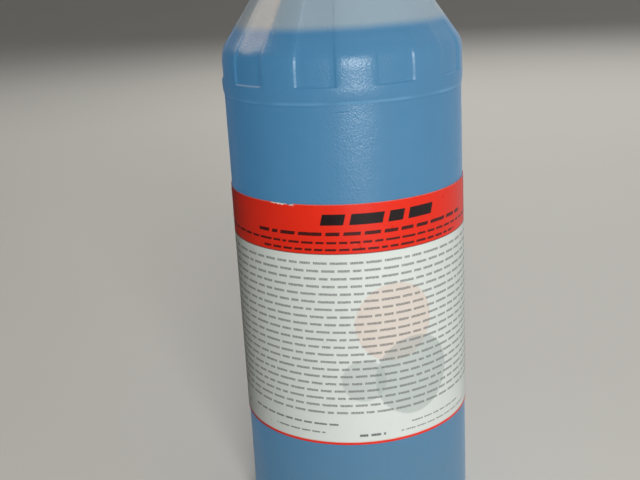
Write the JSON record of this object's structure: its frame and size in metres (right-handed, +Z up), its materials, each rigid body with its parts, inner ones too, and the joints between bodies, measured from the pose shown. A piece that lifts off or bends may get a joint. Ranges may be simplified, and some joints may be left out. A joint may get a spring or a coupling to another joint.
{
  "type": "wash bottle",
  "caption": "Squeeze wash bottle with fluted cone shoulder, screw cap, swivelling spout with dip tube and tethered tip cap, wrap label, part full of blue liquid.",
  "frame": {"origin": "on the bottle's axis, in the plane of the standing ring that it rests on", "axes": "+Z up along the bottle's axis; the front, with the label's middle beside it, faces -Y; the spout points along -X"},
  "size_m": [0.1346, 0.0874, 0.2976],
  "materials": {
    "bottle_wall": "satin",
    "liquid": "gloss",
    "label_film": "gloss",
    "gasket_foam": "matte",
    "cap_plastic": "satin",
    "insert_plastic": "satin",
    "tube_plastic": "satin",
    "nozzle_plastic": "satin",
    "tip_cap_plastic": "satin"
  },
  "bodies": {
    "bottle_body": {"bottle": "bottle_wall", "liquid": "liquid", "label": "label_film"},
    "seal": {"neck_gasket": "gasket_foam"},
    "cap": {"screw_cap": "cap_plastic"},
    "spout": {"spout_insert": "insert_plastic", "dip_tube": "tube_plastic", "delivery_tube": "tube_plastic", "nozzle_tip": "nozzle_plastic"},
    "tip_cap": {"tip_cap": "tip_cap_plastic"}
  },
  "joints": [
    {"name": "head_lift", "type": "slide", "parent": "bottle_body", "child": "seal", "axis": [0, 0, 1], "range_m": [0, 0.0063]},
    {"name": "cap_turn", "type": "hinge", "parent": "seal", "child": "cap", "pos_m": [0, 0, 0.2458], "axis": [0, 0, 1], "range_deg": [0, 540]},
    {"name": "spout_swivel", "type": "hinge", "parent": "seal", "child": "spout", "pos_m": [0, 0, 0.2563], "axis": [0, 0, 1], "continuous": true},
    {"name": "tip_cap_pull", "type": "slide", "parent": "spout", "child": "tip_cap", "axis": [-0.9063, 0, -0.4226], "range_m": [0, 0.014]}
  ],
  "couplings": [
    {"joint": "head_lift", "follows": "cap_turn", "m_per_rad": 0.00066845}
  ]
}
